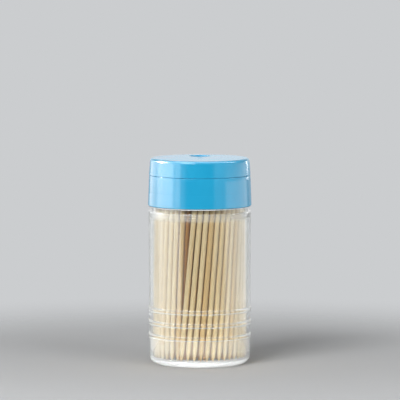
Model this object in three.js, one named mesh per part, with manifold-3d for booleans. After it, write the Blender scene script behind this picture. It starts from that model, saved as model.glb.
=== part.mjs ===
// A clear round jar of toothpicks with a two-part rotary cap.
// Millimetres, +Z up, origin at the centre of the jar's base. The front of the jar faces -Y.

import * as THREE from 'three';
import { mergeVertices, toCreasedNormals } from 'three/addons/utils/BufferGeometryUtils.js';
import Module from 'manifold-3d';

const wasm = await Module();
wasm.setup();

// Toothpicks: round, pointed at both ends
const pickTotal = 200;
const rimPickCount = 46; // the picks that stand along the wall, each one a piece of its own
const pickDiameter = 2.0;
const pickLength = 65;
const pickTaper = 7.5;
const pickTipDiameter = 0.5;
const pickGap = 0.185; // between two neighbours along the wall, at their tops
const pickSpread = 0.68; // how much further out the picks stand at the floor than at the neck
const pickSeatGap = 0.2; // from the floor to the lowest tip
const pickToWall = 0.25; // at the picks' feet
const pickToNeck = 0.28;
const corePickOverlap = 0.08; // how far neighbours in the middle of the bundle are pressed together
const coreGap = 0.6; // from the middle of the bundle to the picks along the wall

// The bundle has slid round a little: the picks lean to the right at the front, less so on the left,
// and a wedge-shaped gap opens at the top between the first pick and the last.
const firstPickAngle = -22.5; // degrees round the jar from the front, at the floor
const leanAfterWedge = 18.5; // degrees round the jar from the first pick's foot to its top
const leanBeforeWedge = 7; // the same for the last pick

// Jar: one clear moulding, as wide as the ring of picks along its wall needs
const jarWall = 1.2;
const jarDraft = 0.35; // growth of the radius from the floor to the shoulder
const footDepth = 0.8; // height of the foot ring round the hollow underside
const footWidth = 1.9;
const footSlope = 0.6;
const floorThickness = 1.6;
const baseCorner = 5.5; // outer radius between the base and the wall
const floorCorner = 1.3;
const shoulderEdge = 0.4;
const rimAbovePicks = 3.1;
const neckHeight = 10.8;
const neckWall = 1.0;
const neckEase = 2.3; // height of the slope from the neck's bore out to the body's
const rimChamfer = 0.3;
const neckBeadProud = 0.2;
const neckBeadHeight = 1.6;
const neckBeadDrop = 3.4; // from the rim down to the bead

// Grip ribs low on the jar
const ribCount = 3;
const ribPitch = 5.15;
const ribWidth = 2.1;
const ribProud = 0.4;
const ribFlank = 0.35;
const lowestRib = 11.4; // height of the lowest rib's middle

// Cap collar: the lower half of the cap, pushed onto the neck, with the deck that the picks pass through
const seatGap = 0.3; // between the rim and the deck, and between the dial and what it sits on
const skirtGap = 0.3; // between the neck's bead and the skirt
const skirtWall = 0.95; // at the skirt's foot
const neckShows = 2.1; // bare neck between the shoulder and the skirt
const footEdge = 0.3;
const deckThickness = 1.5;
const collarRise = 0.9; // from the deck up to the collar's edge
const collarTaper = 0.4; // loss of radius from the skirt's foot to the collar's edge
const collarChamferHeight = 0.8;
const collarChamferDepth = 0.25;
const plugGap = 0.3;
const plugWall = 1.0;
const plugTipGap = 0.6; // from the picks' tips to the plug
const plugChamfer = 0.3;
const singleHoleDiameter = 3.2;
const severalHoleDiameter = 6.2;

// Cap dial: the upper half, turning on the collar's ring, with one chute
const partingGap = 0.6;
const dialHeight = 6.5;
const dialWall = 1.3;
const dialTaper = 0.5;
const dialTop = 1.5;
const dialEdge = 1.2; // radius round the top
const lipProud = 0.4; // the inward lip that holds the dial under the ring's bead
const lipHeight = 1.0;
const runningGap = 0.3;
const ringWall = 1.1;
const ringBeadHeight = 1.2;
const chuteBore = 8;
const chuteWall = 0.9;
const chuteFunnel = 0.5; // chamfer round the mouth
const pinDiameter = 3.6;
const pinChamfer = 0.4;
const socketWall = 1.5;
const socketHeight = 3.5;
const socketFloor = 0.5; // from the deck to the bottom of the socket
const restAngle = 180; // degrees from the front: the chute faces away, over blank deck
const stationAngle = 90; // degrees from one of the deck's stations to the next

// Facets
const roundFacets = 48;
const holeFacets = 24;
const rimPickFacets = 8;
const corePickFacets = 6;
const cornerSteps = 4;
const cutOverrun = 1;
const triangleCorners = 3;
const creaseAngle = THREE.MathUtils.degToRad(30);

// Heights of the jar
const floorLevel = footDepth + floorThickness;
const pickFootLevel = floorLevel + pickSeatGap;
const pickTopLevel = pickFootLevel + pickLength;
const rimLevel = pickTopLevel + rimAbovePicks;
const shoulderLevel = rimLevel - neckHeight;

// Ring of picks along the wall
const leanDifference = THREE.MathUtils.degToRad(leanAfterWedge - leanBeforeWedge);
const leanStep = leanDifference / rimPickCount;
const footAngleStep = (2 * Math.PI) / rimPickCount;
const topRingRadius = (pickDiameter + pickGap) / (footAngleStep - leanStep);
const footRingRadius = topRingRadius + pickSpread;

// Radii of the jar
const footBore = footRingRadius + pickDiameter / 2 + pickToWall;
const shoulderBore = footBore + jarDraft;
const baseRadius = footBore + jarWall;
const shoulderRadius = shoulderBore + jarWall;
const neckBore = topRingRadius + pickDiameter / 2 + pickToNeck;
const neckRadius = neckBore + neckWall;

// Heights of the cap
const skirtLevel = shoulderLevel + neckShows;
const deckUnderside = rimLevel + seatGap;
const deckLevel = deckUnderside + deckThickness;
const collarLevel = deckLevel + collarRise;
const dialLevel = collarLevel + partingGap;
const topLevel = dialLevel + dialHeight;
const dialUnderside = topLevel - dialTop;

// Radii of the cap
const skirtBore = neckRadius + neckBeadProud + skirtGap;
const skirtRadius = skirtBore + skirtWall;
const collarRadius = skirtRadius - collarTaper;
const dialBore = collarRadius - dialWall;
const lipBore = dialBore - lipProud;
const ringRadius = lipBore - runningGap;
const ringBeadRadius = dialBore - runningGap;
const ringBore = ringRadius - ringWall;
const socketBore = pinDiameter / 2 + runningGap;
const socketRadius = socketBore + socketWall;
const chuteOffset = (socketRadius + ringBore) / 2;

const clearPolystyrene = new THREE.MeshStandardMaterial({
  color: 0xe9eef0, roughness: 0.08, metalness: 0, transparent: true, opacity: 0.35,
});
const bluePolypropylene = new THREE.MeshStandardMaterial({ color: 0x2aa5dc, roughness: 0.25, metalness: 0 });
const birch = new THREE.MeshStandardMaterial({ color: 0xdcc9a3, roughness: 0.75, metalness: 0 });

// A point on a circle round the jar's axis, measured from the front towards the right
function roundJar(radius, angle, level) {
  return new THREE.Vector3(radius * Math.sin(angle), -radius * Math.cos(angle), level);
}

// Points of a quarter circle, from one angle to the other in degrees
function arc(centreRadius, centreLevel, radius, from, to) {
  const points = [];
  for (let step = 0; step <= cornerSteps; step += 1) {
    const angle = THREE.MathUtils.degToRad(from + ((to - from) * step) / cornerSteps);
    points.push([centreRadius + radius * Math.cos(angle), centreLevel + radius * Math.sin(angle)]);
  }
  return points;
}

// A solid of revolution about +Z from [radius, level] points, outside first and upwards
function turned(profile, facets) {
  const points = profile.map(([radius, level]) => new THREE.Vector2(radius, level));
  return new THREE.LatheGeometry(points, facets).rotateX(Math.PI / 2);
}

function toSolid(geometry) {
  const bare = geometry.clone();
  bare.deleteAttribute('normal');
  bare.deleteAttribute('uv');
  const merged = mergeVertices(bare);
  const corners = merged.index.array;
  const triVerts = [];
  for (let start = 0; start < corners.length; start += triangleCorners) {
    const [a, b, c] = corners.slice(start, start + triangleCorners);
    if (a !== b && b !== c && c !== a) triVerts.push(a, b, c);
  }
  return new wasm.Manifold(new wasm.Mesh({
    numProp: 3,
    vertProperties: new Float32Array(merged.attributes.position.array),
    triVerts: new Uint32Array(triVerts),
  }));
}

function toGeometry(solid) {
  const mesh = solid.getMesh();
  const geometry = new THREE.BufferGeometry();
  geometry.setAttribute('position', new THREE.BufferAttribute(mesh.vertProperties, 3));
  geometry.setIndex(new THREE.BufferAttribute(mesh.triVerts, 1));
  return geometry;
}

// An upright cylinder between two levels, standing where the cap's chute or a deck hole is
function column(radius, from, to, angle) {
  const height = to - from;
  const shape = new THREE.CylinderGeometry(radius, radius, height, holeFacets).rotateX(Math.PI / 2);
  const place = roundJar(chuteOffset, THREE.MathUtils.degToRad(angle), from + height / 2);
  return toSolid(shape.translate(place.x, place.y, place.z));
}

function named(name, geometry, material) {
  const mesh = new THREE.Mesh(toCreasedNormals(geometry, creaseAngle), material);
  mesh.name = name;
  return mesh;
}

// Radius of the jar's outside at a level on its drafted wall
function wallRadius(level) {
  return baseRadius + (jarDraft * level) / shoulderLevel;
}

function makeJar() {
  const ribs = [];
  for (let rib = 0; rib < ribCount; rib += 1) { // from the lowest rib up
    const middle = lowestRib + rib * ribPitch;
    const low = middle - ribWidth / 2;
    const high = middle + ribWidth / 2;
    ribs.push([wallRadius(low), low]);
    ribs.push([wallRadius(low) + ribProud, low + ribFlank]);
    ribs.push([wallRadius(high) + ribProud, high - ribFlank]);
    ribs.push([wallRadius(high), high]);
  }
  const beadLevel = rimLevel - neckBeadDrop;
  return turned([
    [0, footDepth],
    [baseRadius - baseCorner - footWidth - footSlope, footDepth],
    [baseRadius - baseCorner - footWidth, 0],
    ...arc(baseRadius - baseCorner, baseCorner, baseCorner, -90, 0),
    ...ribs,
    ...arc(shoulderRadius - shoulderEdge, shoulderLevel - shoulderEdge, shoulderEdge, 0, 90),
    [neckRadius, shoulderLevel],
    [neckRadius, beadLevel - neckBeadHeight / 2],
    [neckRadius + neckBeadProud, beadLevel],
    [neckRadius, beadLevel + neckBeadHeight / 2],
    [neckRadius, rimLevel - rimChamfer],
    [neckRadius - rimChamfer, rimLevel],
    [neckBore, rimLevel],
    [neckBore, shoulderLevel],
    [shoulderBore, shoulderLevel - neckEase],
    ...arc(footBore - floorCorner, floorLevel + floorCorner, floorCorner, 0, -90),
    [0, floorLevel],
  ], roundFacets);
}

function makeCollar() {
  const plugLevel = pickTopLevel + plugTipGap;
  const plugRadius = neckBore - plugGap;
  const beadLevel = dialLevel + lipHeight + seatGap;
  const ringLevel = dialUnderside - seatGap;
  const body = toSolid(turned([
    [0, deckUnderside],
    [plugRadius - plugWall, deckUnderside],
    [plugRadius - plugWall, plugLevel],
    [plugRadius - plugChamfer, plugLevel],
    [plugRadius, plugLevel + plugChamfer],
    [plugRadius, deckUnderside],
    [skirtBore, deckUnderside],
    [skirtBore, skirtLevel],
    [skirtRadius - footEdge, skirtLevel],
    [skirtRadius, skirtLevel + footEdge],
    [collarRadius, collarLevel - collarChamferHeight],
    [collarRadius - collarChamferDepth, collarLevel],
    [ringRadius, collarLevel],
    [ringRadius, beadLevel],
    [ringBeadRadius, beadLevel],
    [ringBeadRadius, beadLevel + ringBeadHeight / 2],
    [ringRadius, beadLevel + ringBeadHeight],
    [ringRadius, ringLevel],
    [ringBore, ringLevel],
    [ringBore, deckLevel],
    [socketRadius, deckLevel],
    [socketRadius, deckLevel + socketHeight],
    [socketBore, deckLevel + socketHeight],
    [socketBore, deckLevel + socketFloor],
    [0, deckLevel + socketFloor],
  ], roundFacets));
  const below = deckUnderside - cutOverrun;
  const above = deckLevel + cutOverrun;
  const holes = [singleHoleDiameter, chuteBore, severalHoleDiameter].map((diameter, hole) => (
    column(diameter / 2, below, above, restAngle + (hole + 1) * stationAngle)
  ));
  return toGeometry(holes.reduce((solid, hole) => solid.subtract(hole), body));
}

function makeDial() {
  const dialTopRadius = collarRadius - dialTaper;
  const pinEnd = deckLevel + socketFloor + runningGap;
  const body = toSolid(turned([
    [0, pinEnd],
    [pinDiameter / 2 - pinChamfer, pinEnd],
    [pinDiameter / 2, pinEnd + pinChamfer],
    [pinDiameter / 2, dialUnderside],
    [dialBore, dialUnderside],
    [dialBore, dialLevel + lipHeight],
    [lipBore, dialLevel + lipHeight],
    [lipBore, dialLevel],
    [collarRadius, dialLevel],
    ...arc(dialTopRadius - dialEdge, topLevel - dialEdge, dialEdge, 0, 90),
    [0, topLevel],
  ], roundFacets));
  const chuteEnd = deckLevel + seatGap;
  const tube = column(chuteBore / 2 + chuteWall, chuteEnd, dialUnderside + dialTop / 2, restAngle);
  const bore = column(chuteBore / 2, chuteEnd - cutOverrun, topLevel + cutOverrun, restAngle);
  const mouthPlace = roundJar(chuteOffset, THREE.MathUtils.degToRad(restAngle), topLevel);
  const mouth = toSolid(new THREE.CylinderGeometry(
    chuteBore / 2 + 2 * chuteFunnel, chuteBore / 2, 2 * chuteFunnel, holeFacets,
  ).rotateX(Math.PI / 2).translate(mouthPlace.x, mouthPlace.y, mouthPlace.z));
  return toGeometry(body.add(tube).subtract(bore).subtract(mouth));
}

// One pick standing on the origin, with blunt tips
function makeRimPick() {
  return turned([
    [0, 0],
    [pickTipDiameter / 2, 0],
    [pickDiameter / 2, pickTaper],
    [pickDiameter / 2, pickLength - pickTaper],
    [pickTipDiameter / 2, pickLength],
    [0, pickLength],
  ], rimPickFacets);
}

// Places of the upright picks in the middle: a honeycomb, filled from the centre outwards
function corePlaces() {
  const pitch = pickDiameter - corePickOverlap;
  const reach = topRingRadius - pickDiameter - coreGap;
  const rows = Math.ceil(reach / pitch) + 1;
  const places = [];
  for (let row = -2 * rows; row <= 2 * rows; row += 1) {
    for (let column = -2 * rows; column <= 2 * rows; column += 1) {
      const place = new THREE.Vector2(pitch * (column + row / 2), pitch * row * Math.sin(Math.PI / 3));
      if (place.length() <= reach) places.push(place);
    }
  }
  places.sort((a, b) => a.length() - b.length());
  return places.slice(0, pickTotal - rimPickCount);
}

// The picks in the middle of the bundle, pressed into one piece
function makeCore() {
  const pick = turned([
    [0, 0],
    [pickDiameter / 2, pickTaper],
    [pickDiameter / 2, pickLength - pickTaper],
    [0, pickLength],
  ], corePickFacets).rotateZ(Math.PI / 2);
  const picks = corePlaces().map((place) => toSolid(pick.clone().translate(place.x, place.y, pickFootLevel)));
  return toGeometry(picks.reduce((bundle, next) => bundle.add(next)));
}

// A pick along the wall, counted to the right from the wedge-shaped gap
function placeRimPick(mesh, count) {
  const footAngle = THREE.MathUtils.degToRad(firstPickAngle) + count * footAngleStep;
  const lean = THREE.MathUtils.degToRad(leanAfterWedge) - count * leanStep;
  const foot = roundJar(footRingRadius, footAngle, pickFootLevel);
  const top = roundJar(topRingRadius, footAngle + lean, pickFootLevel);
  const sideways = top.distanceTo(foot);
  top.z += Math.sqrt(pickLength ** 2 - sideways ** 2);
  mesh.position.copy(foot);
  mesh.quaternion.setFromUnitVectors(new THREE.Vector3(0, 0, 1), top.sub(foot).normalize());
}

const holder = new THREE.Group();
holder.add(named('jar', makeJar(), clearPolystyrene));

const cap = new THREE.Group();
cap.add(named('cap_collar', makeCollar(), bluePolypropylene));
cap.add(named('cap_dial', makeDial(), bluePolypropylene));
holder.add(cap);

const bundle = new THREE.Group();
const rimPick = makeRimPick();
for (let count = 0; count < rimPickCount; count += 1) {
  const pick = named(`toothpick_${String(count + 1).padStart(2, '0')}`, rimPick, birch);
  placeRimPick(pick, count);
  bundle.add(pick);
}
bundle.add(named('toothpick_core', makeCore(), birch));
holder.add(bundle);

export default holder;
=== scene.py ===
# A clear round jar of toothpicks under a two-part blue rotary cap.
# Metres in the scene; the pieces' own sizes are in millimetres and go through mm.
import math
import random

import bmesh
import bpy
import numpy as np
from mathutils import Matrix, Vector


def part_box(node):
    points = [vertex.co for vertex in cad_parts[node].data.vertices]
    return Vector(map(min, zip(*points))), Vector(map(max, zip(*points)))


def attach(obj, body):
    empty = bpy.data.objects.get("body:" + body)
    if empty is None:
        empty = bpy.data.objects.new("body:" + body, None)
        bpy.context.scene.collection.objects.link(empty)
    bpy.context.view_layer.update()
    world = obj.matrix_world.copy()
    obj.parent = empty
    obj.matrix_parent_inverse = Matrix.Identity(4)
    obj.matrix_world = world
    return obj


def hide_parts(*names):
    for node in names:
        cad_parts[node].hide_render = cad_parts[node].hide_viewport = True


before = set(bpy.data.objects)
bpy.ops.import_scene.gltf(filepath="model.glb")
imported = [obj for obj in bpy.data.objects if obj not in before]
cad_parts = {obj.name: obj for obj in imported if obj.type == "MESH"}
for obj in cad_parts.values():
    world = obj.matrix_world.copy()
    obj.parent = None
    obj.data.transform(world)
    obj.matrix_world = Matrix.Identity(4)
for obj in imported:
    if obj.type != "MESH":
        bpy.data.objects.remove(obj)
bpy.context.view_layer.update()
mm = 0.001
print("stage: the frame is loaded")


# Small tools

def hexToLinear(code):
    channels = [int(code[start:start + 2], 16) / 255 for start in (1, 3, 5)]
    return [c / 12.92 if c <= 0.04045 else ((c + 0.055) / 1.055) ** 2.4 for c in channels] + [1.0]


def addNode(tree, kind, settings=None, links=None):
    node = tree.nodes.new(kind)
    for name, value in (settings or {}).items():
        if isinstance(name, int) or name in node.inputs:
            node.inputs[name].default_value = value
        else:
            setattr(node, name, value)
    for name, socket in (links or {}).items():
        tree.links.new(socket, node.inputs[name])
    return node


def newMaterial(name):
    material = bpy.data.materials.new(name)
    material.use_nodes = True
    material.node_tree.nodes.clear()
    return material, material.node_tree


def setRamp(node, stops):
    ramp = node.color_ramp
    while len(ramp.elements) < len(stops):
        ramp.elements.new(0.5)
    for element, (position, colour) in zip(ramp.elements, stops):
        element.position = position
        element.color = colour


def addPiece(name, mesh, material):
    piece = bpy.data.objects.new(name, mesh)
    bpy.context.scene.collection.objects.link(piece)
    mesh.materials.append(material)
    return piece


# An outline of (radius, level) corners, each with the radius that rounds it as a third number
def roundCorners(corners, steps):
    outline = []
    for index, corner in enumerate(corners):
        here = Vector(corner[:2])
        if len(corner) < 3:
            outline.append(here)
            continue
        before = Vector(corners[index - 1][:2]) - here
        after = Vector(corners[index + 1][:2]) - here
        half = before.angle(after) / 2
        reach = min(corner[2] / math.tan(half), 0.49 * before.length, 0.49 * after.length)
        radius = reach * math.tan(half)
        centre = here + (before.normalized() + after.normalized()).normalized() * radius / math.sin(half)
        start = here + before.normalized() * reach - centre
        end = here + after.normalized() * reach - centre
        for step in range(steps + 1):
            outline.append(centre + start.slerp(end, step / steps) * radius)
    return outline


# A solid of revolution from an outline that starts and ends on the axis, lowest side first
def turnedMesh(name, outline, segments, centre=(0, 0)):
    shape = bmesh.new()
    rings = []
    for radius, level in outline:
        if radius < 1e-6:
            rings.append([shape.verts.new((centre[0] * mm, centre[1] * mm, level * mm))])
            continue
        turns = [2 * math.pi * turn / segments for turn in range(segments)]
        rings.append([
            shape.verts.new((
                (centre[0] + radius * math.cos(turn)) * mm,
                (centre[1] + radius * math.sin(turn)) * mm,
                level * mm,
            )) for turn in turns
        ])
    for low, high in zip(rings, rings[1:]):
        for turn in range(segments):
            after = (turn + 1) % segments
            corners = [
                low[turn % len(low)], low[after % len(low)],
                high[after % len(high)], high[turn % len(high)],
            ]
            shape.faces.new(list(dict.fromkeys(corners)))
    mesh = bpy.data.meshes.new(name)
    shape.to_mesh(mesh)
    shape.free()
    return mesh


# Cuts or joins the second solid into the first, and removes the second
def combine(piece, tool, operation):
    change = piece.modifiers.new("combine", "BOOLEAN")
    change.operation = operation
    change.solver = "EXACT"
    change.object = tool
    bpy.context.view_layer.update()
    made = bpy.data.meshes.new_from_object(piece.evaluated_get(bpy.context.evaluated_depsgraph_get()))
    piece.modifiers.clear()
    piece.data = made
    bpy.data.objects.remove(tool)


# Smooth faces, sharp only where the surface turns by more than the angle
def smoothPiece(piece, angle=32):
    shape = bmesh.new()
    shape.from_mesh(piece.data)
    for face in shape.faces:
        face.smooth = True
    for edge in shape.edges:
        edge.smooth = len(edge.link_faces) < 2 or edge.calc_face_angle() < math.radians(angle)
    shape.to_mesh(piece.data)
    shape.free()
    weighting = piece.modifiers.new("weightedNormals", "WEIGHTED_NORMAL")
    weighting.keep_sharp = True


# Materials

# Clear moulded polystyrene: water-clear and hard, with a crisp gloss, and faintly milky where it is thick
def makeClearPolystyrene():
    look = {
        "tint": "#f6f9f9",
        "lightLoss": "#f5f7f7",  # what a face of the wall lets through of a lamp's light
        "clearness": 0.995,  # the rest is the faint milkiness
        "edgeHaze": 0.38,  # how much milkier it looks where the eye meets the wall at a slant
        "ior": 1.5,
        "roughness": 0.08,
        "waveLength": 9.0,  # mm, the slow unevenness of a moulded wall
        "waveDepth": 0.006,  # mm
    }
    material, tree = newMaterial("clearMouldedPolystyrene")
    place = addNode(tree, "ShaderNodeTexCoord")
    wave = addNode(tree, "ShaderNodeTexNoise", {
        "Scale": 1 / (look["waveLength"] * mm), "Detail": 1.0, "Roughness": 0.4,
    }, {"Vector": place.outputs["Object"]})
    uneven = addNode(tree, "ShaderNodeBump", {
        "Strength": 1.0, "Distance": look["waveDepth"] * mm,
    }, {"Height": wave.outputs["Fac"]})
    # The wall's whiteness from the jar: milkiness, and the painted highlight lines along the ribs
    hazeAndPaintedHighlight = addNode(tree, "ShaderNodeAttribute", {"attribute_name": "hazeAndPaintedHighlight"})
    slant = addNode(tree, "ShaderNodeLayerWeight", {"Blend": 0.5})
    milkyAndHighlight = addNode(tree, "ShaderNodeMath", {"operation": "MULTIPLY_ADD", 1: look["edgeHaze"]}, {
        0: slant.outputs["Facing"], 2: hazeAndPaintedHighlight.outputs["Fac"],
    })
    clear = addNode(tree, "ShaderNodeMapRange", {
        "To Min": look["clearness"], "To Max": 0.0,
    }, {"Value": milkyAndHighlight.outputs[0]})
    plastic = addNode(tree, "ShaderNodeBsdfPrincipled", {
        "Base Color": hexToLinear(look["tint"]), "Roughness": look["roughness"], "IOR": look["ior"],
    }, {"Transmission Weight": clear.outputs["Result"], "Normal": uneven.outputs["Normal"]})
    passing = addNode(tree, "ShaderNodeBsdfTransparent", {"Color": hexToLinear(look["lightLoss"])})
    rays = addNode(tree, "ShaderNodeLightPath")
    either = addNode(tree, "ShaderNodeMath", {"operation": "MAXIMUM"}, {
        0: rays.outputs["Is Shadow Ray"], 1: rays.outputs["Is Diffuse Ray"],
    })
    mixed = addNode(tree, "ShaderNodeMixShader", {}, {
        0: either.outputs[0], 1: plastic.outputs[0], 2: passing.outputs[0],
    })
    addNode(tree, "ShaderNodeOutputMaterial", {}, {"Surface": mixed.outputs[0]})
    return material


# Moulded polypropylene, light blue: one colour right through, and a waxy gloss that spreads reflections
def makeBluePolypropylene():
    look = {
        "colour": "#22a9d9",
        "thinColour": "#2aafde",  # where the melt flowed thinner
        "ior": 1.49,
        "shine": 0.9,
        "roughness": 0.18,
        "flowLength": 14.0,  # mm, slow changes of tone from the flow of the melt
        "grain": 0.5,  # mm, the mould's fine texture, drawn coarser than it is so that it shows
        "grainDepth": 0.003,  # mm
    }
    material, tree = newMaterial("blueMouldedPolypropylene")
    place = addNode(tree, "ShaderNodeTexCoord")
    flow = addNode(tree, "ShaderNodeTexNoise", {
        "Scale": 1 / (look["flowLength"] * mm), "Detail": 2.0,
    }, {"Vector": place.outputs["Object"]})
    colour = addNode(tree, "ShaderNodeValToRGB", {}, {"Fac": flow.outputs["Fac"]})
    setRamp(colour, [(0.3, hexToLinear(look["colour"])), (0.7, hexToLinear(look["thinColour"]))])
    grain = addNode(tree, "ShaderNodeTexNoise", {
        "Scale": 1 / (look["grain"] * mm), "Detail": 2.0,
    }, {"Vector": place.outputs["Object"]})
    texture = addNode(tree, "ShaderNodeBump", {
        "Strength": 1.0, "Distance": look["grainDepth"] * mm,
    }, {"Height": grain.outputs["Fac"]})
    gloss = addNode(tree, "ShaderNodeMapRange", {
        "To Min": look["roughness"] * 0.85, "To Max": look["roughness"] * 1.15,
    }, {"Value": flow.outputs["Fac"]})
    plastic = addNode(tree, "ShaderNodeBsdfPrincipled", {
        "IOR": look["ior"], "Specular IOR Level": look["shine"],
    }, {
        "Base Color": colour.outputs["Color"], "Roughness": gloss.outputs["Result"],
        "Normal": texture.outputs["Normal"],
    })
    addNode(tree, "ShaderNodeOutputMaterial", {}, {"Surface": plastic.outputs[0]})
    return material


# Birch picks, turned and tumbled: bare pale wood with fine long fibres, dull, a little darker at the tips.
# Its darkest tones are painted shade, which the inner picks take
def makeBirch():
    look = {
        "pale": "#f6e0b6",
        "straw": "#ebcd96",
        "tan": "#d6a968",
        "paintedShadeBrown": "#b47c3c",  # painted shade: the deepest tone, for the inner picks in the shade between the others
        "fibre": "#b9874c",
        "tip": "#b0824a",
        "fibreStrength": 0.55,  # how much of the fibre's colour the darkest streaks take
        "tipStrength": 0.45,  # the same for a tip's end
        "roughness": 0.62,
        "shine": 0.3,
        "fibreWidth": 0.22,  # mm, drawn a little coarser than real so that it shows
        "fibreLength": 9.0,  # mm
        "fibreDepth": 0.012,  # mm
    }
    material, tree = newMaterial("tumbledBirch")
    place = addNode(tree, "ShaderNodeAttribute", {"attribute_name": "placeOnPick"})
    # Each pick's own tone, and for the inner picks painted shade
    toneAndShade = addNode(tree, "ShaderNodeAttribute", {"attribute_name": "pickToneAndShade"})
    stretch = addNode(tree, "ShaderNodeMapping", {
        "Scale": (1 / look["fibreWidth"], 1 / look["fibreWidth"], 1 / look["fibreLength"]),
    }, {"Vector": place.outputs["Vector"]})
    fibres = addNode(tree, "ShaderNodeTexNoise", {
        "Scale": 1.0, "Detail": 3.0, "Roughness": 0.6,
    }, {"Vector": stretch.outputs["Vector"]})
    wood = addNode(tree, "ShaderNodeValToRGB", {}, {"Fac": toneAndShade.outputs["Fac"]})
    setRamp(wood, [
        (0.0, hexToLinear(look["paintedShadeBrown"])), (0.3, hexToLinear(look["tan"])),
        (0.6, hexToLinear(look["straw"])), (1.0, hexToLinear(look["pale"])),
    ])
    dark = addNode(tree, "ShaderNodeMapRange", {
        "From Min": 0.52, "From Max": 0.8, "To Max": look["fibreStrength"],
    }, {"Value": fibres.outputs["Fac"]})
    streaked = addNode(tree, "ShaderNodeMix", {
        "data_type": "RGBA", 7: hexToLinear(look["fibre"]),
    }, {0: dark.outputs["Result"], 6: wood.outputs["Color"]})
    tip = addNode(tree, "ShaderNodeAttribute", {"attribute_name": "nearTip"})
    share = addNode(tree, "ShaderNodeMath", {"operation": "MULTIPLY", 1: look["tipStrength"]}, {
        0: tip.outputs["Fac"],
    })
    tipped = addNode(tree, "ShaderNodeMix", {
        "data_type": "RGBA", 7: hexToLinear(look["tip"]),
    }, {0: share.outputs[0], 6: streaked.outputs[2]})
    rough = addNode(tree, "ShaderNodeMapRange", {
        "To Min": look["roughness"] - 0.08, "To Max": look["roughness"] + 0.12,
    }, {"Value": fibres.outputs["Fac"]})
    relief = addNode(tree, "ShaderNodeBump", {
        "Strength": 1.0, "Distance": look["fibreDepth"] * mm,
    }, {"Height": fibres.outputs["Fac"]})
    surface = addNode(tree, "ShaderNodeBsdfPrincipled", {"IOR": 1.5, "Specular IOR Level": look["shine"]}, {
        "Base Color": tipped.outputs[2], "Roughness": rough.outputs["Result"],
        "Normal": relief.outputs["Normal"],
    })
    addNode(tree, "ShaderNodeOutputMaterial", {}, {"Surface": surface.outputs[0]})
    return material


clearPolystyrene = makeClearPolystyrene()
bluePolypropylene = makeBluePolypropylene()
birch = makeBirch()
print("stage: the materials are made")

# Heights and radii that the frame gives, in mm
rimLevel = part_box("jar")[1].z / mm
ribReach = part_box("jar")[1].x / mm
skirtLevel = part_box("cap_collar")[0].z / mm
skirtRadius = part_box("cap_collar")[1].x / mm
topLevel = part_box("cap_dial")[1].z / mm
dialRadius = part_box("cap_dial")[1].x / mm

jar = {
    "wall": 1.2, "draft": 0.35, "segments": 192, "cornerSteps": 6,
    "footDepth": 0.8, "footWidth": 1.9, "footSlope": 0.6, "floor": 1.6, "baseCorner": 5.5, "floorCorner": 1.3,
    "neckHeight": 10.8, "neckStep": 1.2, "neckWall": 1.0, "neckEase": 2.3, "shoulderEdge": 0.4,
    "beadDrop": 3.4, "beadHeight": 1.6, "beadProud": 0.2,
    "flangeDrop": 0.1, "flangeHeight": 0.35, "flangeInset": 0.25,  # the thin flange just under the cap's foot
    "ribCount": 3, "ribPitch": 5.15, "ribWidth": 2.1, "ribProud": 0.4, "ribFlank": 0.35, "lowestRib": 11.4,
    "edge": 0.15,  # how far a moulded edge is rounded
    "gateRadius": 0.7, "gateDepth": 0.08,  # the mark of the sprue under the base
    # How white the clear wall turns where it is thick or bent sharply, and how far that goes. The white lines
    # along the ribs' edges are painted highlights, stronger at the lower edge
    "highRibPaintedHighlight": 0.2, "lowRibPaintedHighlight": 0.6, "ribPaintedHighlightReach": 0.3, "shoulderHaze": 0.2, "shoulderHazeReach": 3.0,
    "neckHaze": -0.1, "flangeHaze": 0.9, "baseHaze": 0.9, "cornerHaze": 0.03,
    "footHaze": 0.2, "footHazeTo": 3.5, "milkiness": 0.11, "milkyFrom": 5.0, "milkyTo": 10.3,
}
shoulderLevel = rimLevel - jar["neckHeight"]
topRibEdge = jar["lowestRib"] + (jar["ribCount"] - 1) * jar["ribPitch"] + jar["ribWidth"] / 2
baseRadius = ribReach - jar["ribProud"] - jar["draft"] * topRibEdge / shoulderLevel
shoulderRadius = baseRadius + jar["draft"]
neckRadius = shoulderRadius - jar["neckStep"]
neckBore = neckRadius - jar["neckWall"]
floorLevel = jar["footDepth"] + jar["floor"]


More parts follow.
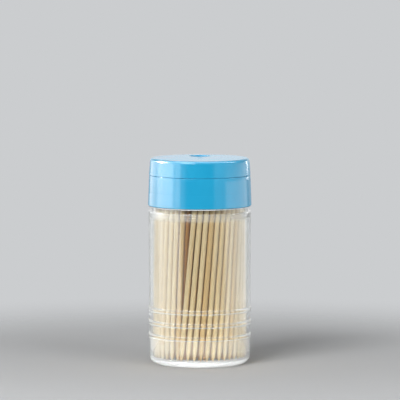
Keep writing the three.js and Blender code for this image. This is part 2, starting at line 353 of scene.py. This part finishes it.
# The whiteness at a place of the wall, in mm, with the painted highlight lines along the ribs' edges. It
# changes evenly between two rings of the jar's outline.
def hazeAndPaintedHighlightAt(radius, level):
    hazeAndPaintedHighlight = 0.0
    isOuterWall = radius > baseRadius - 0.2
    isFloor = radius < baseRadius - jar["wall"] - 0.5 and level < floorLevel + 0.1
    isInnerShoulder = radius < shoulderRadius - 0.9 * jar["wall"] and level < shoulderLevel - 0.1
    for rib in range(jar["ribCount"] if isOuterWall else 0):
        middle = jar["lowestRib"] + rib * jar["ribPitch"]
        # Painted highlights: a white line along each rib's lower and upper edge
        for edge, most in ((-1, jar["lowRibPaintedHighlight"]), (1, jar["highRibPaintedHighlight"])):
            line = middle + edge * (jar["ribWidth"] / 2 - jar["ribFlank"] - jar["edge"])
            hazeAndPaintedHighlight = max(hazeAndPaintedHighlight, most * (1 - abs(level - line) / jar["ribPaintedHighlightReach"]))
        if 0 <= level - middle + jar["ribWidth"] / 2 + jar["edge"] < jar["ribFlank"] + jar["edge"]:
            hazeAndPaintedHighlight = 0.0  # the lower flank stays clear
    if level < jar["milkyTo"]:
        hazeAndPaintedHighlight = jar["milkiness"] if level > jar["milkyFrom"] else jar["cornerHaze"]
    if level < jar["footHazeTo"] and radius > baseRadius - jar["baseCorner"]:
        hazeAndPaintedHighlight = jar["footHaze"]
    if level < floorLevel - 0.4 or isFloor:
        hazeAndPaintedHighlight = jar["baseHaze"]
    if radius < neckRadius + 0.1 and level > shoulderLevel:
        hazeAndPaintedHighlight = jar["neckHaze"]
    if isInnerShoulder and level > shoulderLevel - jar["shoulderHazeReach"]:
        hazeAndPaintedHighlight = jar["shoulderHaze"]
    if radius > neckRadius + 0.2 and level > shoulderLevel + 0.5:
        hazeAndPaintedHighlight = jar["flangeHaze"]
    return hazeAndPaintedHighlight


# The radius of the jar's inner wall
def wallBore(level):
    rise = shoulderLevel - jar["neckEase"] - floorLevel
    return baseRadius - jar["wall"] + jar["draft"] * (level - floorLevel) / rise


def buildJar():
    footInside = baseRadius - jar["baseCorner"] - jar["footWidth"]
    edge = jar["edge"]
    outline = [
        (0, jar["footDepth"] + jar["gateDepth"]),
        (jar["gateRadius"], jar["footDepth"] + jar["gateDepth"], edge),
        (jar["gateRadius"] + edge, jar["footDepth"], edge),
        (footInside - jar["footSlope"], jar["footDepth"], jar["footSlope"]),
        (footInside, 0, edge),
        (baseRadius, 0, jar["baseCorner"]),
    ]
    for rib in range(jar["ribCount"]):
        low = jar["lowestRib"] + rib * jar["ribPitch"] - jar["ribWidth"] / 2
        high = low + jar["ribWidth"]
        lowWall, highWall = (baseRadius + jar["draft"] * level / shoulderLevel for level in (low, high))
        outline += [
            (lowWall, low, edge),
            (lowWall + jar["ribProud"], low + jar["ribFlank"], edge),
            (lowWall + jar["ribProud"], low + jar["ribFlank"] + edge),
            (lowWall + jar["ribProud"], low + jar["ribFlank"] + edge + jar["ribPaintedHighlightReach"]),
            (highWall + jar["ribProud"], high - jar["ribFlank"] - edge - jar["ribPaintedHighlightReach"]),
            (highWall + jar["ribProud"], high - jar["ribFlank"] - edge),
            (highWall + jar["ribProud"], high - jar["ribFlank"], edge),
            (highWall, high, edge),
        ]
    bead = rimLevel - jar["beadDrop"]
    flangeLevel = skirtLevel - jar["flangeDrop"]
    flangeRadius = skirtRadius - jar["flangeInset"]
    hazeEnds = [
        shoulderLevel - 1.2 * jar["shoulderHazeReach"], jar["milkyTo"] + 0.5, jar["milkyTo"] - 0.1,
        jar["milkyFrom"] + 0.3, jar["milkyFrom"] - 0.3,
    ]
    outline += [
        (shoulderRadius, shoulderLevel, jar["shoulderEdge"]),
        (neckRadius, shoulderLevel, edge),
        (neckRadius, flangeLevel - jar["flangeHeight"], edge),
        (flangeRadius, flangeLevel - jar["flangeHeight"], edge),
        (flangeRadius, flangeLevel, edge),
        (neckRadius, flangeLevel, edge),
        (neckRadius, bead - jar["beadHeight"] / 2, edge),
        (neckRadius + jar["beadProud"], bead, 2 * edge),
        (neckRadius, bead + jar["beadHeight"] / 2, edge),
        (neckRadius, rimLevel, 2 * edge),
        (neckBore, rimLevel, edge),
        (neckBore, shoulderLevel, 1.0),
        (shoulderRadius - jar["wall"], shoulderLevel - jar["neckEase"], 1.0),
        *[(wallBore(level), level) for level in hazeEnds],
        (baseRadius - jar["wall"], floorLevel, jar["floorCorner"]),
        (0, floorLevel),
    ]
    piece = addPiece("jar_shell", turnedMesh("jar_shell", roundCorners(outline, jar["cornerSteps"]),
                                             jar["segments"]), clearPolystyrene)
    # Each point's whiteness, with the ribs' painted highlight lines
    hazeAndPaintedHighlight = piece.data.attributes.new("hazeAndPaintedHighlight", "FLOAT", "POINT")
    for vertex, place in zip(piece.data.vertices, hazeAndPaintedHighlight.data):
        spot = vertex.co / mm
        place.value = hazeAndPaintedHighlightAt(math.hypot(spot.x, spot.y), spot.z)
    smoothPiece(piece)
    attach(piece, "jar")
    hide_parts("jar")
    return piece


buildJar()
print("stage: the jar is built")

cap = {
    "segments": 160, "cornerSteps": 4, "edge": 0.15,
    "seatGap": 0.3, "runningGap": 0.3,
    "skirtWall": 0.95, "footEdge": 0.3, "taper": 0.4,
    "sinkDrop": 3.4, "sinkDepth": 0.02, "sinkHeight": 0.5,  # the faint line over the neck's bead
    "deck": 1.5, "collarRise": 0.9, "chamferHeight": 0.8, "chamferDepth": 0.12,
    "lipRise": 0.51, "lipWidth": 0.8, "lipEdge": 0.2,  # the thin lip that hides most of the parting
    "plugGap": 0.3, "plugWall": 1.0, "plugLength": 2.8,
    "parting": 0.6, "partingEdge": 0.07, "dialWall": 1.3, "dialTaper": 0.5, "dialTop": 1.5, "dialEdge": 1.2,
    "lipProud": 0.4, "lipHeight": 1.0, "ringWall": 1.1, "ringBeadHeight": 1.2,
    "socketRadius": 3.6, "socketWall": 1.5, "socketHeight": 3.5, "socketFloor": 0.5,
    "chuteBore": 8.0, "chuteWall": 0.9, "mouthEdge": 0.3, "holeSegments": 72,
    "singleHole": 3.2, "severalHole": 6.2, "holeEdge": 0.25,
    "gateRadius": 0.9, "gateDepth": 0.12,  # the mark of the sprue in the middle of the top
}
deckLow = rimLevel + cap["seatGap"]
deckHigh = deckLow + cap["deck"]
collarLevel = deckHigh + cap["collarRise"]
dialLevel = collarLevel + cap["parting"]
dialUnderside = topLevel - cap["dialTop"]
dialBore = dialRadius - cap["dialWall"]
ringRadius = dialBore - cap["lipProud"] - cap["runningGap"]
ringBore = ringRadius - cap["ringWall"]
chuteOffset = (cap["socketRadius"] + ringBore) / 2


# An upright hole through one or two faces, each edge rounded by its own radius
def holeCutter(radius, low, high, lowEdge, highEdge, turn):
    overrun = 1.0
    skim = 0.01  # lets the rounding run just past the face, so that it meets it at an angle
    corners = [(0, low - overrun), (radius + lowEdge, low - overrun)]
    angles = [math.pi / 2 * step / cap["cornerSteps"] for step in range(cap["cornerSteps"] + 1)]
    for angle in angles:
        across, rise = 1 - math.sin(angle), 1 - math.cos(angle)
        corners.append((radius + lowEdge * across, low - skim + lowEdge * rise))
    for angle in angles:
        across, drop = 1 - math.cos(angle), 1 - math.sin(angle)
        corners.append((radius + highEdge * across, high + skim - highEdge * drop))
    corners += [(radius + highEdge, high + overrun), (0, high + overrun)]
    side = math.radians(turn)
    centre = (chuteOffset * math.sin(side), -chuteOffset * math.cos(side))
    mesh = turnedMesh("cutter", corners, cap["holeSegments"], centre)
    cutter = bpy.data.objects.new("cutter", mesh)
    bpy.context.scene.collection.objects.link(cutter)
    return cutter


def buildCollar():
    edge = cap["edge"]
    plugRadius = neckBore - cap["plugGap"]
    plugLevel = deckLow - cap["plugLength"]
    skirtBore = skirtRadius - cap["skirtWall"]
    collarRadius = skirtRadius - cap["taper"]
    slope = cap["taper"] / (collarLevel - cap["chamferHeight"] - skirtLevel)
    sink = rimLevel - cap["sinkDrop"]
    sinkRadius = skirtRadius - slope * (sink - skirtLevel)
    ringBead = dialLevel + cap["lipHeight"] + cap["seatGap"]
    socketBore = cap["socketRadius"] - cap["socketWall"]
    outline = [
        (0, deckLow),
        (plugRadius - cap["plugWall"], deckLow, edge),
        (plugRadius - cap["plugWall"], plugLevel, edge),
        (plugRadius, plugLevel, 2 * edge),
        (plugRadius, deckLow, edge),
        (skirtBore, deckLow, edge),
        (skirtBore, skirtLevel, edge),
        (skirtRadius, skirtLevel, cap["footEdge"]),
        (sinkRadius + slope * cap["sinkHeight"], sink - cap["sinkHeight"], edge),
        (sinkRadius - cap["sinkDepth"], sink, edge),
        (sinkRadius - slope * cap["sinkHeight"], sink + cap["sinkHeight"], edge),
        (collarRadius, collarLevel - cap["chamferHeight"], 2 * edge),
        (collarRadius - cap["chamferDepth"], collarLevel + cap["lipRise"], cap["lipEdge"]),
        (collarRadius - cap["chamferDepth"] - cap["lipWidth"], collarLevel + cap["lipRise"], edge),
        (collarRadius - cap["chamferDepth"] - cap["lipWidth"], collarLevel, edge),
        (ringRadius, collarLevel, edge),
        (ringRadius, ringBead, edge),
        (ringRadius + cap["lipProud"], ringBead, edge),
        (ringRadius + cap["lipProud"], ringBead + cap["ringBeadHeight"] / 2, edge),
        (ringRadius, ringBead + cap["ringBeadHeight"], edge),
        (ringRadius, dialUnderside - cap["seatGap"], edge),
        (ringBore, dialUnderside - cap["seatGap"], edge),
        (ringBore, deckHigh, 2 * edge),
        (cap["socketRadius"], deckHigh, 2 * edge),
        (cap["socketRadius"], deckHigh + cap["socketHeight"], edge),
        (socketBore, deckHigh + cap["socketHeight"], edge),
        (socketBore, deckHigh + cap["socketFloor"], edge),
        (0, deckHigh + cap["socketFloor"]),
    ]
    piece = addPiece("collar_shell", turnedMesh("collar_shell", roundCorners(outline, cap["cornerSteps"]),
                                                cap["segments"]), bluePolypropylene)
    holes = [(cap["singleHole"], -90), (cap["chuteBore"], 0), (cap["severalHole"], 90)]
    for diameter, turn in holes:
        cutter = holeCutter(diameter / 2, deckLow, deckHigh, cap["holeEdge"], cap["holeEdge"], turn)
        combine(piece, cutter, "DIFFERENCE")
    smoothPiece(piece)
    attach(piece, "collar")
    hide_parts("cap_collar")
    return piece


def buildDial():
    edge = cap["edge"]
    pinRadius = cap["socketRadius"] - cap["socketWall"] - cap["runningGap"]
    pinEnd = deckHigh + cap["socketFloor"] + cap["runningGap"]
    outline = [
        (0, pinEnd),
        (pinRadius, pinEnd, 2 * edge),
        (pinRadius, dialUnderside, 2 * edge),
        (dialBore, dialUnderside, 2 * edge),
        (dialBore, dialLevel + cap["lipHeight"], edge),
        (dialBore - cap["lipProud"], dialLevel + cap["lipHeight"], edge),
        (dialBore - cap["lipProud"], dialLevel, edge),
        (dialRadius, dialLevel, cap["partingEdge"]),
        (dialRadius - cap["dialTaper"], topLevel, cap["dialEdge"]),
        (cap["gateRadius"] + 2 * edge, topLevel, edge),
        (cap["gateRadius"], topLevel - cap["gateDepth"], edge),
        (0, topLevel - cap["gateDepth"]),
    ]
    piece = addPiece("dial_shell", turnedMesh("dial_shell", roundCorners(outline, 2 * cap["cornerSteps"]),
                                              cap["segments"]), bluePolypropylene)
    away = math.pi
    place = (chuteOffset * math.sin(away), -chuteOffset * math.cos(away))
    tubeEnd = deckHigh + cap["seatGap"]
    tubeRadius = cap["chuteBore"] / 2 + cap["chuteWall"]
    tubeOutline = roundCorners([
        (0, tubeEnd), (tubeRadius, tubeEnd, edge), (tubeRadius, dialUnderside + cap["dialTop"] / 2),
        (0, dialUnderside + cap["dialTop"] / 2),
    ], cap["cornerSteps"])
    tube = bpy.data.objects.new("tube", turnedMesh("tube", tubeOutline, cap["holeSegments"], place))
    bpy.context.scene.collection.objects.link(tube)
    combine(piece, tube, "UNION")
    bore = holeCutter(cap["chuteBore"] / 2, tubeEnd, topLevel, edge, cap["mouthEdge"], 180)
    combine(piece, bore, "DIFFERENCE")
    smoothPiece(piece)
    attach(piece, "dial")
    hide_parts("cap_dial")
    return piece


buildCollar()
buildDial()
print("stage: the cap is built")

picks = {
    "diameter": 1.9, "length": 65.0, "taper": 6.0, "taperFullness": 0.85, "tipDiameter": 0.5, "tipEdge": 0.12,
    "darkTip": 2.5,  # how far the wood is darker from a tip
    "rimSides": 20, "innerSides": 12, "bodySteps": 8, "taperSteps": 4,
    "bow": 0.07,  # how far the middle of a pick may stand off its straight line
    "uneven": 0.018,  # share by which the thickness changes along a pick and round it
    "unevenTurn": 0.16,  # radians of that change to a mm
    "innerCount": 154, "innerReach": 14.2, "innerSpacing": 2.12, "innerLean": 11.0,
    "footWander": 0.5, "topWander": 0.5, "lengthSpread": 0.35,
    "settleRounds": 160, "settleStep": 0.25, "seed": 11,
    "innerShadeFade": 0.5,  # how far the painted shade on the inner picks fades towards their tops, where light reaches them
    "wedgeFoot": (-7.64, -13.1), "wedgeTop": (-3.82, -14.6),  # the one that shows in the wedge
    "rimShift": 0.22,  # closer to the wall than the plain picks
    # How far those beside the wedge stand to the right at foot and top, which makes it as narrow as it is
    "nudge": {
        "toothpick_44": (0.1, 0.1), "toothpick_45": (0.2, 0.2), "toothpick_46": (0.4, 0.35),
        "toothpick_01": (-0.35, -0.25), "toothpick_02": (-0.17, -0.17), "toothpick_03": (-0.09, -0.09),
    },
}
dice = random.Random(picks["seed"])


# Distances along a pick and the radius there, from its foot to its top
def pickOutline(length):
    tip, body = picks["tipDiameter"] / 2, picks["diameter"] / 2
    end = [(0.0, tip - picks["tipEdge"]), (picks["tipEdge"], tip)]
    for step in range(1, picks["taperSteps"] + 1):
        share = step / picks["taperSteps"]
        fullness = math.sin(share * math.pi / 2)
        end.append((picks["taper"] * share, tip + (body - tip) * fullness ** picks["taperFullness"]))
    middle = []
    for step in range(1, picks["bodySteps"]):
        middle.append((picks["taper"] + (length - 2 * picks["taper"]) * step / picks["bodySteps"], body))
    return end + middle + [(length - along, radius) for along, radius in reversed(end)]


# Adds one pick to the lists that a mesh is made from
def addPick(lists, foot, top, sides, toneAndShade, shadeFade=0.0):
    points, faces, places, tonesAndShade, tips = lists
    axis = top - foot
    length = axis.length
    turn = Vector((0, 0, 1)).rotation_difference(axis)
    bowSide = dice.uniform(0, 2 * math.pi)
    bow = dice.uniform(0, picks["bow"])
    phase = dice.uniform(0, 2 * math.pi)
    offset = Vector((dice.uniform(0, 400), dice.uniform(0, 400), dice.uniform(0, 400)))
    outline = pickOutline(length)
    first = len(points)

    def put(along, radius, side):
        bend = bow * math.sin(math.pi * along / length)
        change = math.sin(2 * side + phase) + math.sin(picks["unevenTurn"] * along + 3 * phase)
        wobble = 1 + picks["uneven"] * change / 2
        flat = Vector((
            radius * wobble * math.cos(side) + bend * math.cos(bowSide),
            radius * wobble * math.sin(side) + bend * math.sin(bowSide),
            along,
        ))
        points.append((foot + turn @ flat) * mm)
        places.append(flat + offset)
        # Inner picks: the painted shade fades out along the top taper
        tonesAndShade.append(toneAndShade + shadeFade * max(0.0, 1 - (length - along) / picks["taper"]))
        tips.append(max(0.0, 1 - min(along, length - along) / picks["darkTip"]))

    put(0, 0, 0)
    for along, radius in outline:
        for side in range(sides):
            put(along, radius, 2 * math.pi * side / sides)
    put(length, 0, 0)
    last = len(points) - 1
    for side in range(sides):
        after = (side + 1) % sides
        faces.append((first, first + 1 + after, first + 1 + side))
        for ring in range(len(outline) - 1):
            low = first + 1 + ring * sides
            high = low + sides
            faces.append((low + side, low + after, high + after, high + side))
        faces.append((last - sides + side, last - sides + after, last))


def pickMesh(name, lists):
    points, faces, places, tonesAndShade, tips = lists
    mesh = bpy.data.meshes.new(name)
    mesh.from_pydata(points, [], faces)
    mesh.attributes.new("placeOnPick", "FLOAT_VECTOR", "POINT").data.foreach_set(
        "vector", [value for place in places for value in place])
    mesh.attributes.new("pickToneAndShade", "FLOAT", "POINT").data.foreach_set("value", tonesAndShade)
    mesh.attributes.new("nearTip", "FLOAT", "POINT").data.foreach_set("value", tips)
    mesh.polygons.foreach_set("use_smooth", [True] * len(mesh.polygons))
    mesh.update()
    return mesh


# The middles of a frame pick's two tips, in mm
def pickEnds(node):
    spots = [vertex.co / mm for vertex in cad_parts[node].data.vertices]
    levels = [spot.z for spot in spots]
    ends = []
    for level in (min(levels), max(levels)):
        tip = [spot for spot in spots if abs(spot.z - level) < 0.2]
        low = Vector([min(spot[axis] for spot in tip) for axis in range(3)])
        high = Vector([max(spot[axis] for spot in tip) for axis in range(3)])
        ends.append((low + high) / 2)
    return ends


def buildRimPicks():
    nodes = sorted(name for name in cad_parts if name.startswith("toothpick_") and name[-1].isdigit())
    for node in nodes:
        foot, top = pickEnds(node)
        for end, nudge in zip((foot, top), picks["nudge"].get(node, (0, 0))):
            end.x += nudge
            end += Vector((end.x, end.y, 0)).normalized() * picks["rimShift"]
        lists = ([], [], [], [], [])
        addPick(lists, foot, top, picks["rimSides"], dice.triangular(0.4, 1.0, 0.7))
        piece = addPiece("pick" + node.removeprefix("toothpick"), pickMesh(node + "_wood", lists), birch)
        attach(piece, "jar")
        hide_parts(node)
    return len(nodes)


# Pushes places apart until neighbours have room, inside a circle; the last one is held where it is
def settle(places, held):
    for _ in range(picks["settleRounds"]):
        places[-1] = held
        apart = places[:, None] - places[None]
        distance = np.linalg.norm(apart, axis=2) + 1e3 * np.eye(len(places))
        push = np.clip(picks["innerSpacing"] - distance, 0, None) / distance
        places = places + picks["settleStep"] * (apart * push[..., None]).sum(axis=1)
        radius = np.linalg.norm(places, axis=1)
        places = places * np.minimum(1, picks["innerReach"] / np.maximum(radius, 1e-6))[:, None]
    places[-1] = held
    return places


def buildInnerPicks():
    count = picks["innerCount"]
    golden = math.pi * (3 - math.sqrt(5))
    feet = np.array([
        [picks["innerReach"] * math.sqrt((index + 0.5) / count) * math.cos(index * golden),
         picks["innerReach"] * math.sqrt((index + 0.5) / count) * math.sin(index * golden)]
        for index in range(count)
    ])
    wander = [[dice.gauss(0, picks["footWander"]), dice.gauss(0, picks["footWander"])] for _ in range(count)]
    feet = settle(feet + wander, picks["wedgeFoot"])
    lean = math.radians(picks["innerLean"])
    spin = np.array([[math.cos(lean), math.sin(lean)], [-math.sin(lean), math.cos(lean)]])
    wander = [[dice.gauss(0, picks["topWander"]), dice.gauss(0, picks["topWander"])] for _ in range(count)]
    tops = settle(feet @ spin + wander, picks["wedgeTop"])
    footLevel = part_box("toothpick_core")[0].z / mm
    lists = ([], [], [], [], [])
    for foot, top in zip(feet, tops):
        length = picks["length"] - dice.uniform(0, picks["lengthSpread"])
        sideways = math.hypot(*(top - foot))
        rise = math.sqrt(length ** 2 - sideways ** 2)
        # The inner picks take the darker tones as painted shade between the rim picks
        addPick(lists, Vector((*foot, footLevel)), Vector((*top, footLevel + rise)), picks["innerSides"],
                dice.triangular(0.0, 0.4, 0.05), picks["innerShadeFade"])
    piece = addPiece("inner_picks", pickMesh("inner_picks", lists), birch)
    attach(piece, "jar")
    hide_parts("toothpick_core")


print("stage:", buildRimPicks(), "picks stand along the wall")
buildInnerPicks()
print("stage:", picks["innerCount"], "picks stand in the middle")

# Studio: a pale floor that fades into an even pale surround, soft lights at the sides and above
studio = {
    "background": "#cbcdcf",
    "fill": 0.24,  # brightness of the surround as a light
    "floorColour": "#c8c9ca",
    "floorRadius": 0.6, "fadeFrom": 0.06, "fadeTo": 0.24,  # m
    "cardColour": "#303030", "cardWidth": 1.0, "cardHeight": 0.5, "cardDistance": 0.8,  # m
    "cameraHeight": 5.0,  # degrees above the horizon
    "cameraDistance": 1.6, "frameWidth": 0.156, "aimLevel": 0.064, "aimSide": 0.0001,  # m
}


def buildStage():
    shape = bmesh.new()
    bmesh.ops.create_circle(shape, cap_ends=True, segments=128, radius=studio["floorRadius"])
    mesh = bpy.data.meshes.new("floor")
    shape.to_mesh(mesh)
    shape.free()
    material, tree = newMaterial("paleFloor")
    place = addNode(tree, "ShaderNodeTexCoord")
    away = addNode(tree, "ShaderNodeVectorMath", {"operation": "LENGTH"}, {0: place.outputs["Object"]})
    fade = addNode(tree, "ShaderNodeMapRange", {
        "interpolation_type": "SMOOTHSTEP", "From Min": studio["fadeFrom"], "From Max": studio["fadeTo"],
    }, {"Value": away.outputs["Value"]})
    paint = addNode(tree, "ShaderNodeBsdfDiffuse", {"Color": hexToLinear(studio["floorColour"])})
    clear = addNode(tree, "ShaderNodeBsdfTransparent")
    mixed = addNode(tree, "ShaderNodeMixShader", {}, {
        0: fade.outputs["Result"], 1: paint.outputs[0], 2: clear.outputs[0],
    })
    addNode(tree, "ShaderNodeOutputMaterial", {}, {"Surface": mixed.outputs[0]})
    addPiece("floor", mesh, material)


# A dark card in front, only for reflections: it keeps the pale surround out of the wall's and the cap's gloss
def buildDarkCard():
    shape = bmesh.new()
    bmesh.ops.create_grid(shape, x_segments=1, y_segments=1, size=0.5)
    for vertex in shape.verts:
        vertex.co = (vertex.co.x * studio["cardWidth"], -studio["cardDistance"],
                     studio["aimLevel"] + vertex.co.y * studio["cardHeight"])
    mesh = bpy.data.meshes.new("darkCard")
    shape.to_mesh(mesh)
    shape.free()
    material, tree = newMaterial("blackPaper")
    paint = addNode(tree, "ShaderNodeBsdfDiffuse", {"Color": hexToLinear(studio["cardColour"])})
    addNode(tree, "ShaderNodeOutputMaterial", {}, {"Surface": paint.outputs[0]})
    card = addPiece("darkCard", mesh, material)
    card.visible_camera = card.visible_diffuse = card.visible_transmission = card.visible_shadow = False


def buildWorld():
    world = bpy.data.worlds.new("surround")
    world.use_nodes = True
    tree = world.node_tree
    tree.nodes.clear()
    rays = addNode(tree, "ShaderNodeLightPath")
    seen = addNode(tree, "ShaderNodeMath", {"operation": "MAXIMUM"}, {
        0: rays.outputs["Is Camera Ray"], 1: rays.outputs["Is Glossy Ray"],
    })
    seenThrough = addNode(tree, "ShaderNodeMath", {"operation": "MAXIMUM"}, {
        0: seen.outputs[0], 1: rays.outputs["Is Transmission Ray"],
    })
    light = addNode(tree, "ShaderNodeBackground", {"Strength": studio["fill"]})
    light.inputs["Color"].default_value = (1, 1, 1, 1)
    picture = addNode(tree, "ShaderNodeBackground", {
        "Color": hexToLinear(studio["background"]), "Strength": 1.0,
    })
    mixed = addNode(tree, "ShaderNodeMixShader", {}, {
        0: seenThrough.outputs[0], 1: light.outputs[0], 2: picture.outputs[0],
    })
    addNode(tree, "ShaderNodeOutputWorld", {}, {"Surface": mixed.outputs[0]})
    bpy.context.scene.world = world


# A flat soft light that faces the object, at a turn from the front to the right and a height over the horizon
def addSoftbox(name, look):
    side, up = math.radians(look["side"]), math.radians(look["up"])
    aim = Vector((0, 0, look["aim"]))
    away = Vector((math.sin(side) * math.cos(up), -math.cos(side) * math.cos(up), math.sin(up)))
    light = bpy.data.lights.new(name, "AREA")
    light.shape = "RECTANGLE"
    light.size, light.size_y = look["width"], look["height"]
    light.spread = math.radians(look.get("spread", 180))
    light.energy = look["brightness"] * math.pi * look["width"] * look["height"]
    lamp = bpy.data.objects.new(name, light)
    lamp.location = aim + away * look["distance"]
    lamp.rotation_euler = (-away).to_track_quat("-Z", "Y").to_euler()
    lamp.visible_camera = False
    lamp.visible_diffuse = "diffuse" in look["rays"]
    lamp.visible_glossy = "glossy" in look["rays"]
    lamp.visible_transmission = "through" in look["rays"]
    bpy.context.scene.collection.objects.link(lamp)


# Those without diffuse rays only show as reflections, like lit cards beside a camera: the upper ones stand
# where the cap mirrors them to the camera, the lower ones where the jar does. Those with diffuse rays alone
# give light and no reflection. Aim is the height in metres that a lamp faces, and spread its beam in degrees.
lights = {
    "upperLeftFront": {"side": -50, "up": 0, "distance": 0.3, "aim": 0.096, "width": 0.07, "height": 0.118,
                       "brightness": 2.2, "rays": "glossy through"},
    "upperLeft": {"side": -83, "up": 0, "distance": 0.3, "aim": 0.096, "width": 0.26, "height": 0.118,
                  "brightness": 4.2, "rays": "glossy through"},
    "upperLeftRear": {"side": -126, "up": 0, "distance": 0.3, "aim": 0.096, "width": 0.22, "height": 0.118,
                      "brightness": 2.2, "rays": "glossy through"},
    "lowerLeftFront": {"side": -48, "up": 0, "distance": 0.3, "aim": -0.004, "width": 0.05, "height": 0.082,
                       "brightness": 2.4, "rays": "glossy through"},
    "lowerLeft": {"side": -79, "up": 0, "distance": 0.3, "aim": -0.004, "width": 0.28, "height": 0.082,
                  "brightness": 1.65, "rays": "glossy through"},
    "lowerLeftRear": {"side": -126, "up": 0, "distance": 0.3, "aim": -0.004, "width": 0.22, "height": 0.082,
                      "brightness": 0.3, "rays": "glossy through"},
    "leftAbove": {"side": -90, "up": 45, "distance": 0.5, "aim": 0.07, "width": 0.6, "height": 0.7,
                  "brightness": 2.4, "rays": "glossy through"},
    "right": {"side": 94, "up": 0, "distance": 0.3, "aim": 0.02, "width": 0.42, "height": 0.13,
              "brightness": 1.2, "rays": "diffuse glossy through"},
    "rightRim": {"side": 136, "up": 0, "distance": 0.3, "aim": 0.108, "width": 0.03, "height": 0.08,
                 "brightness": 8.3, "rays": "glossy through"},
    "rightAbove": {"side": 90, "up": 45, "distance": 0.5, "aim": 0.07, "width": 0.15, "height": 0.3,
                   "brightness": 5.0, "rays": "glossy through"},
    "rear": {"side": 180, "up": 6, "distance": 0.5, "aim": 0.08, "width": 0.7, "height": 0.16,
             "brightness": 0.45, "rays": "glossy"},
    "above": {"side": 0, "up": 88, "distance": 0.5, "aim": 0.05, "width": 0.5, "height": 0.5,
              "brightness": 2.6, "rays": "glossy through"},
    "lowRight": {"side": 45, "up": 3, "distance": 0.3, "aim": -0.002, "width": 0.2, "height": 0.03,
                 "spread": 14, "brightness": 0.45, "rays": "diffuse"},
    "lowLeft": {"side": -60, "up": 3, "distance": 0.3, "aim": -0.002, "width": 0.2, "height": 0.03,
                "spread": 14, "brightness": 0.7, "rays": "diffuse"},
    "lowMiddle": {"side": -10, "up": 3, "distance": 0.3, "aim": -0.01, "width": 0.3, "height": 0.012,
                  "spread": 8, "brightness": 1.3, "rays": "diffuse"},
    "topEdge": {"side": -108, "up": 25, "distance": 0.3, "aim": 0.08, "width": 0.08, "height": 0.05,
                "spread": 10, "brightness": 9.0, "rays": "glossy"},
    "besideKey": {"side": 45, "up": 25, "distance": 0.8, "aim": 0.04, "width": 0.4, "height": 0.36,
                  "brightness": 2.9, "rays": "diffuse"},
    "keyShine": {"side": -30, "up": 33, "distance": 0.8, "aim": 0.04, "width": 0.4, "height": 0.36,
                 "brightness": 5.5, "rays": "glossy through"},
    "key": {"side": -30, "up": 33, "distance": 0.8, "aim": 0.04, "width": 0.4, "height": 0.36,
            "brightness": 10.6, "rays": "diffuse"},
}


def buildCamera():
    camera = bpy.data.cameras.new("camera")
    camera.sensor_width = 36
    camera.lens = camera.sensor_width * studio["cameraDistance"] / studio["frameWidth"]
    camera.clip_start, camera.clip_end = 0.05, 20
    viewer = bpy.data.objects.new("camera", camera)
    height = math.radians(studio["cameraHeight"])
    back = Vector((0, -math.cos(height), math.sin(height)))
    viewer.location = Vector((studio["aimSide"], 0, studio["aimLevel"])) + back * studio["cameraDistance"]
    viewer.rotation_euler = (-back).to_track_quat("-Z", "Y").to_euler()
    bpy.context.scene.collection.objects.link(viewer)
    bpy.context.scene.camera = viewer


buildStage()
buildDarkCard()
buildWorld()
for lightName, lightLook in lights.items():
    addSoftbox(lightName, lightLook)
buildCamera()
bpy.context.scene.view_settings.view_transform = "Standard"
print("stage: the studio is lit")
